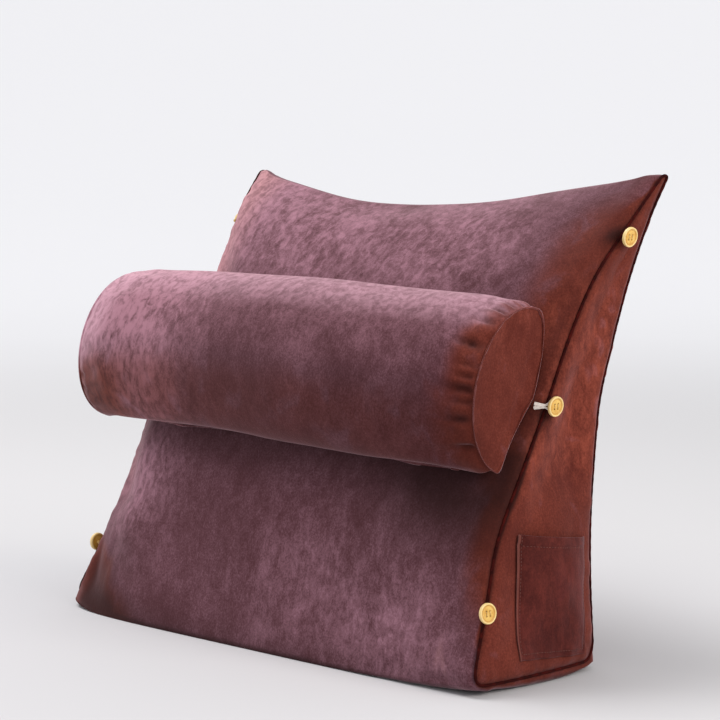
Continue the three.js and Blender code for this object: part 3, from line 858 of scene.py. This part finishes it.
def pocket_point(across, tall, lift):
    """A point of the pocket's outside: across from front to back, tall from base to top, both 0 to 1."""
    front = mix(np.array(POCKET_BASE[0]), np.array(POCKET_TOP[0]), tall)
    rear = mix(np.array(POCKET_BASE[1]), np.array(POCKET_TOP[1]), tall)
    py, pz = mix(front, rear, across)
    start = Vector((0.6, (py - BASE_MIDDLE_Y) / 1000, pz / 1000))
    side_x = cushion_skin.ray_cast(start, Vector((-1, 0, 0)))[0].x * 1000
    slack = POCKET_SLACK * (1 - (2 * across - 1) ** 6) * math.sin(math.pi / 2 * tall) ** 0.8
    wide, high = POCKET_SIZE
    from_edge = min(across * wide, (1 - across) * wide, tall * high)
    from_hem = (1 - tall - HEM) * high
    sewn = 0.6 * math.exp(-(((from_edge - 3.2) / 1.3) ** 2)) + 0.5 * math.exp(-((from_hem / 1.3) ** 2))
    turned_in = 0.6 * (from_hem < -1)
    wave = 0.45 * math.sin(across * 19 + tall * 5) * math.sin(tall * 13 + 1)
    wave *= math.sqrt(max(0, arch(across)))
    return (side_x + POCKET_LIFT + slack - sewn + turned_in + wave + lift, py, pz)


cells_across, cells_tall = POCKET_CELLS
grid = [
    (towards_ends(i / cells_across), j / cells_tall)
    for j in range(cells_tall + 1)
    for i in range(cells_across + 1)
]
row = cells_across + 1
pocket_quads = [
    [j * row + i, j * row + i + 1, (j + 1) * row + i + 1, (j + 1) * row + i]
    for j in range(cells_tall)
    for i in range(cells_across)
]
pocket = mesh_piece("pocket_patch", in_model([pocket_point(a, t, 0) for a, t in grid]), pocket_quads)
only(pocket)
bpy.ops.object.modifier_add(type="SOLIDIFY")
pocket.modifiers["Solidify"].thickness = POCKET_THICK / 1000
pocket.modifiers["Solidify"].offset = -1
bpy.ops.object.modifier_apply(modifier="Solidify")
face_outwards(pocket)
finer(pocket, 1)
spots = in_levels(points_of(pocket))
(low_y, low_z), (high_y, high_z) = POCKET_PALE_EDGE
from_edge = np.abs(spots[:, 1] - mix(low_y, high_y, (spots[:, 2] - low_z) / (high_z - low_z)))
# The whole pocket takes the red-brown tone, partly painted shade, with a little paleness and no painted
# sheen or shade.
for name, value in (("nap_and_shade_warmth", 0.95), ("painted_sheen", 0), ("brushed_and_lit", 0.3), ("painted_shade", 0)):
    paint(pocket, name, np.full(len(spots), value))
# Painted highlight: a thin pale line along the pocket's front edge.
paint(pocket, "edge", 0.4 * (1 - smooth_step(0.6, 1.6, from_edge)))
wear(pocket, suede("pocket_suede", "42171a", "5e2a2b", "3b120f", "6b2e26", "a1685c"))

stitch_lines = (
    ((STITCH_EDGE, 1 - HEM), (1 - STITCH_EDGE, 1 - HEM), 26),
    ((STITCH_EDGE, 0.05), (STITCH_EDGE, 0.99), 34),
    ((1 - STITCH_EDGE, 0.05), (1 - STITCH_EDGE, 0.99), 34),
    ((STITCH_EDGE, 0.05), (1 - STITCH_EDGE, 0.05), 27),
)
bpy.ops.mesh.primitive_uv_sphere_add(segments=6, ring_count=5, radius=1)
stitch = bpy.context.object
shape = points_of(stitch) * (STITCH_THICK / 2000, STITCH_THICK / 2000, STITCH_LONG / 2000)
shape_faces = [list(face.vertices) for face in stitch.data.polygons]
bpy.data.objects.remove(stitch)
thread_points, thread_faces = [], []
for first, last, count in stitch_lines:
    run = [[mix(a, b, (k + 0.5) / count) for a, b in zip(first, last)] for k in range(count + 1)]
    run = [(min(a, 0.99), min(t, 0.995)) for a, t in run]
    spots = [Vector(in_model(pocket_point(a, t, 0.25))) for a, t in run]
    for here, there in zip(spots, spots[1:]):
        turn_to = (there - here).to_track_quat("Z", "X")
        base = len(thread_points)
        thread_points += [here + turn_to @ Vector(p) for p in shape]
        thread_faces += [[base + i for i in face] for face in shape_faces]
stitches = mesh_piece("pocket_stitches", thread_points, thread_faces)
face_outwards(stitches)
bpy.ops.object.shade_smooth()
seam_thread, at = material("seam_thread")
shade = at.noise(420, 3)
finish_material(at, {
    "Base Color": shade.between(0.3, 0.75).blend(linear("4a221d"), linear("7a473d")),
    "Roughness": 0.6 + shade * 0.2,
    "Normal": at.bumps(at.noise(2600, 2, (1, 1, 3)), 0.4, 0.0003),
})
wear(stitches, seam_thread)
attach(stitches, "root")
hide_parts("pocket")
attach(pocket, "root")

# Six moulded four-hole buttons hang against the side seams, three on each side. Each has a raised rim
# with a groove inside it and a slightly domed middle.
BUTTON_PROFILE = {
    "radius": (9.4, 9.9, 10.0, 10.0, 9.8, 9.3, 8.7, 8.2, 7.8, 7.2, 6.6, 5.0, 2.4),
    "height": (0.5, 1.1, 1.8, 3.1, 3.7, 4.0, 4.0, 3.8, 3.1, 2.9, 3.1, 3.2, 3.25),
}
BUTTON_BACK = 8.6
HOLE_RADIUS = 1.05
HOLE_SPACING = 4.4
STAND_OFF = 9
BUTTONS = {
    "end": ("left", "left", "left", "right", "right", "right"),
    "level": ("low", "middle", "high", "low", "middle", "high"),
    "height": (66, 263, 423, 77, 263, 423),
    "forward": (-3, 0, -16, 8, 0, 1),
    "turned": (0.05, 0.05, 0, 0.09, 0.02, 0.02),
    "tipped": (0, -0.11, -0.1, 0.11, -0.11, -0.17),
    "thread": (4.4, 5, 5.1, 6, 4.6, 4.8),
}


def draw_up(profile, radius_now, per_metre):
    """Draws a new disc up through the rings of a profile, and leaves it in edit mode."""
    height_now = 0.0
    bpy.ops.object.mode_set(mode="EDIT")
    for radius, height in zip(profile["radius"], profile["height"]):
        lift = (0, 0, (height - height_now) / per_metre)
        bpy.ops.mesh.extrude_region_move(TRANSFORM_OT_translate={"value": lift})
        bpy.ops.transform.resize(value=(radius / radius_now, radius / radius_now, 1))
        radius_now, height_now = radius, height


bpy.ops.mesh.primitive_circle_add(vertices=48, radius=BUTTON_BACK / 1000, fill_type="NGON")
button = bpy.context.object
draw_up(BUTTON_PROFILE, BUTTON_BACK, 1000)
bpy.ops.mesh.poke()
bpy.ops.object.mode_set(mode="OBJECT")
face_outwards(button)
finer(button, 1)
for hole_x in (-1, 1):
    for hole_y in (-1, 1):
        place = (hole_x * HOLE_SPACING / 2000, hole_y * HOLE_SPACING / 2000, 0.002)
        bpy.ops.mesh.primitive_cylinder_add(
            vertices=16, radius=HOLE_RADIUS / 1000, depth=0.012, location=place
        )
        drill = bpy.context.object
        only(button)
        bpy.ops.object.modifier_add(type="BOOLEAN")
        cut = button.modifiers["Boolean"]
        cut.operation, cut.solver, cut.object = "DIFFERENCE", "EXACT", drill
        bpy.ops.object.modifier_apply(modifier="Boolean")
        bpy.data.objects.remove(drill)
paint(button, "from_middle", np.linalg.norm(points_of(button)[:, :2], axis=1) * 1000)
only(button)
bpy.ops.object.shade_smooth_by_angle(angle=math.radians(38))

gold, at = material("button_gold")
from_middle = at.field("from_middle")
cloudy = at.noise(160, 4, (1, 1, 1), 0.4)
# Painted shade darkens the groove inside the rim, and a painted highlight pales the top of the rim.
groove = from_middle.between(6.5, 7.0) * (1 - from_middle.between(7.6, 8.1))
tone = cloudy.between(0.3, 0.7).blend(linear("cf9c3e"), linear("e2ba60"))
tone = (from_middle.between(8.0, 8.6) * 0.6).blend(tone, linear("f5dfa2"))
finish_material(at, {
    "Base Color": (groove * 0.5).blend(tone, linear("b27b28")),
    "Roughness": 0.3 + cloudy * 0.18,
    "Normal": at.bumps(at.noise(900, 2), 0.12, 0.0003),
    "Coat Weight": 0.15,
})

fastenings = []
for end, level, height, forward, tilt, tipped, thread in zip(*BUTTONS.values()):
    way = -1 if end == "left" else 1
    seam = seam_points(way, "front", np.linspace(0, 1, 2001))
    at_height = seam[np.argmin(np.abs(seam[:, 2] - height))]
    facing = np.array([way, -tilt, tipped], float)
    facing /= np.linalg.norm(facing)
    behind = at_height + facing * STAND_OFF - (0, forward, 0)
    foot = at_height + (way * thread, 0, 0)
    fastenings.append((end, level, way, facing, behind, foot))
    piece = button.copy()
    piece.data = button.data.copy()
    piece.name = f"four_hole_button_{end}_{level}"
    bpy.context.scene.collection.objects.link(piece)
    only(piece)
    piece.rotation_mode = "QUATERNION"
    piece.rotation_quaternion = Vector(facing).to_track_quat("Z", "Y")
    piece.location = in_model(behind)
    bpy.ops.object.transform_apply(location=True, rotation=True, scale=True)
    piece.rotation_mode = "XYZ"
    wear(piece, gold)
    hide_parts(f"button_{end}_{level}")
    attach(piece, "root")
bpy.data.objects.remove(button)

# Each button is sewn on with one thread, wound into a neck between the button and the seam and laid in
# two strokes between its four holes.
THREAD_RADIUS = 0.34
NECK_RADIUS = 1.35
STROKE_RADIUS = 0.42
STROKE = {"along": (-1, -1, -0.76, 0, 0.76, 1, 1), "up": (1.4, 2.9, 3.6, 3.75, 3.6, 2.9, 1.4)}

thread_cotton, at = material("button_thread")
shade = at.noise(500, 3)
finish_material(at, {
    "Base Color": shade.between(0.3, 0.75).blend(linear("c99c4c"), linear("f0d492")),
    "Roughness": 0.55 + shade * 0.2,
    "Normal": at.bumps(at.noise(3200, 2, (1, 1, 2)), 0.5, 0.0002),
})
for end, level, _, facing, behind, foot in fastenings:
    neck_length = np.linalg.norm(behind - foot)
    run = Vector(behind - foot).normalized()
    side = run.cross(Vector((0, 0, 1))).normalized()
    over = run.cross(side)
    windings = max(5, int(neck_length / 0.72))
    t = np.linspace(0, 1, windings * 14)
    angle = t * windings * 2 * np.pi
    waist = NECK_RADIUS * (1 + 0.12 * np.sin(t * 9))
    wound = foot + np.outer(t, behind - foot)
    wound += np.outer(np.cos(angle) * waist, side) + np.outer(np.sin(angle) * waist, over)
    neck = cord(f"thread_neck_{end}_{level}", in_model(wound), THREAD_RADIUS / 1000, sides=1)
    parts = [cord("core", in_model(np.linspace(foot, behind, 4)), (NECK_RADIUS - 0.1) / 1000, sides=2)]
    to_face = Vector(facing).to_track_quat("Z", "Y")
    half = HOLE_SPACING / 2
    for beside in (-half, half):
        path = [(beside, share * half, height) for share, height in zip(STROKE["along"], STROKE["up"])]
        spots = np.array([behind + np.array(to_face @ Vector(p)) for p in path])
        parts.append(cord("stroke", in_model(spots), STROKE_RADIUS / 1000, sides=2))
    only(neck)
    for part in parts:
        part.select_set(True)
    bpy.ops.object.join()
    neck = bpy.context.object
    wear(neck, thread_cotton)
    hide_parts(f"shank_{end}_{level}")
    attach(neck, "root")

# A loop of flat white elastic is sewn to each end of the bolster. It narrows to a waist, opens round
# the neck of the middle button, and comes back beside itself.
LOOP_STARTS = {"left": (314.4, 84, 13), "right": (276, 107, 5)}
LOOP_APART = {"start": 2.1, "waist": 1.0, "eye": 4.8}
LOOP_WIDE = {"start": 3.9, "waist": 2.2, "eye": 2.4}
LOOP_WAIST_AT = 0.36
LOOP_SLANT = 0.35
LOOP_THICK = 1.1
LOOP_UNDER_BUTTON = 1.6
BAND_SECTION = {
    "across": (-0.5, -0.42, 0, 0.42, 0.5, 0.5, 0.42, 0, -0.42, -0.5),
    "through": (-0.25, -0.5, -0.5, -0.5, -0.25, 0.25, 0.5, 0.5, 0.5, 0.25),
}

elastic, at = material("white_elastic")
wave_sockets = {"Vector": at, "Scale": 420.0, "Distortion": 0.6, "Detail": 1.0}
ribs = at.add("ShaderNodeTexWave", {"bands_direction": "Z"}, wave_sockets, 1)
soil = at.noise(220, 3).between(0.35, 0.75)
finish_material(at, {
    "Base Color": (ribs * 0.3 + soil * 0.5).blend(linear("fbf4ec"), linear("d8c6b6")),
    "Roughness": 0.7 + ribs * 0.15,
    "Normal": at.bumps(ribs, 0.5, 0.0004),
})
for end, level, way, facing, behind, _ in fastenings:
    if level != "middle":
        continue
    eye = behind - facing * LOOP_UNDER_BUTTON
    start_x, start_y, straight = LOOP_STARTS[end]
    length = eye[1] - start_y
    sideways = way * start_x - eye[0]
    strands = {}
    for upper in (1, -1):
        strands[upper] = []
        for t in np.linspace(0, 1, 22):
            ahead = mix(length, 0, t)
            bend = np.pi / 2 * max(0, ahead - straight) / (length - straight)
            from_waist = min(1, abs(t - LOOP_WAIST_AT) / LOOP_WAIST_AT)
            far_end = "eye" if t > LOOP_WAIST_AT else "start"
            apart = upper * mix(LOOP_APART["waist"], LOOP_APART[far_end], from_waist**1.4)
            wide = mix(LOOP_WIDE["waist"], LOOP_WIDE[far_end], from_waist)
            loop_x = eye[0] + sideways * (1 - np.cos(bend)) + upper * LOOP_SLANT
            strands[upper].append((loop_x, eye[1] - ahead, eye[2] + apart, wide))
    round_neck = []
    for curl in np.pi * np.arange(1, 13) / 13:
        loop_x = eye[0] + LOOP_SLANT * np.cos(curl)
        loop_y = eye[1] + LOOP_APART["eye"] * np.sin(curl)
        loop_z = eye[2] + LOOP_APART["eye"] * np.cos(curl)
        round_neck.append((loop_x, loop_y, loop_z, LOOP_WIDE["eye"]))
    spine = np.array(strands[1] + round_neck + strands[-1][::-1])
    centre, wide = spine[:, :3], spine[:, 3]
    run = np.gradient(centre, axis=0)
    run /= np.linalg.norm(run, axis=1)[:, None]
    edgewise = np.cross(run, (1, 0, 0))
    edgewise /= np.linalg.norm(edgewise, axis=1)[:, None]
    through = np.cross(edgewise, run)
    section = list(zip(BAND_SECTION["across"], BAND_SECTION["through"]))
    n = len(section)
    band_points = [
        centre[k] + edgewise[k] * u * wide[k] + through[k] * v * LOOP_THICK
        for k in range(len(centre))
        for u, v in section
    ]
    band_faces = [
        [k * n + j, k * n + (j + 1) % n, (k + 1) * n + (j + 1) % n, (k + 1) * n + j]
        for k in range(len(centre) - 1)
        for j in range(n)
    ]
    band_faces += [list(range(n))[::-1], [(len(centre) - 1) * n + j for j in range(n)]]
    band = mesh_piece(f"elastic_loop_{end}", in_model(band_points), band_faces)
    face_outwards(band)
    finer(band, 1)
    wear(band, elastic)
    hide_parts(f"loop_{end}")
    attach(band, "root")

# The studio is a plain pale floor that curves up into a backdrop all round, with soft light from the
# upper left and a weaker one from the right.
SWEEP = {
    "radius": (1.5, 2.4, 3.6, 4.3, 4.9, 5.3, 5.45, 5.5),
    "height": (0, 0, 0, 0.14, 0.5, 1.05, 1.7, 3.0),
}
SWEEP_CORE = 0.5
bpy.ops.mesh.primitive_circle_add(
    vertices=96, radius=SWEEP_CORE, fill_type="NGON", location=(0, 0, -0.0003)
)
floor = bpy.context.object
floor.name = "studio_sweep"
draw_up(SWEEP, SWEEP_CORE, 1)
bpy.ops.mesh.delete(type="ONLY_FACE")
bpy.ops.object.mode_set(mode="OBJECT")
bpy.ops.object.transform_apply(location=True, rotation=True, scale=True)
finer(floor, 1)
paper, at = material("studio_paper")
away = at.add("ShaderNodeVectorMath", {"operation": "LENGTH"}, {0: at}, 1)
near, far = away.between(0.34, 0.8), away.between(1.6, 4.4)
glow = near.blend((0, 0, 0, 1), (0.4, 0.39, 0.385, 1))
finish_material(at, {
    "Base Color": far.blend(near.blend(linear("d0d0d1"), linear("b5b5b6")), linear("a4a4a6")),
    "Roughness": 0.86 + at.noise(0.8, 2) * 0.08,
    "Emission Color": far.blend(glow, (0.98, 0.98, 1, 1)),
    "Emission Strength": 0.575,
})
wear(floor, paper)

world = bpy.data.worlds.new("studio")
bpy.context.scene.world = world
world.use_nodes = True
world.node_tree.nodes["Background"].inputs["Color"].default_value = (0.93, 0.95, 1.0, 1)
world.node_tree.nodes["Background"].inputs["Strength"].default_value = 0.52
for name, place, size, power, colour in (
    ("key", (-1.5, -0.7, 3.2), 2.0, 85, (1.0, 0.97, 0.98)),
    ("right_fill", (2.6, 0.3, 1.5), 1.4, 42, (1.0, 0.93, 0.88)),
):
    bpy.ops.object.light_add(type="AREA", location=place)
    light = bpy.context.object
    light.name = name
    light.data.size = size
    light.data.energy = power
    light.data.color = colour
    light.rotation_euler = (Vector((0, 0, 0.2)) - Vector(place)).to_track_quat("-Z", "Y").to_euler()
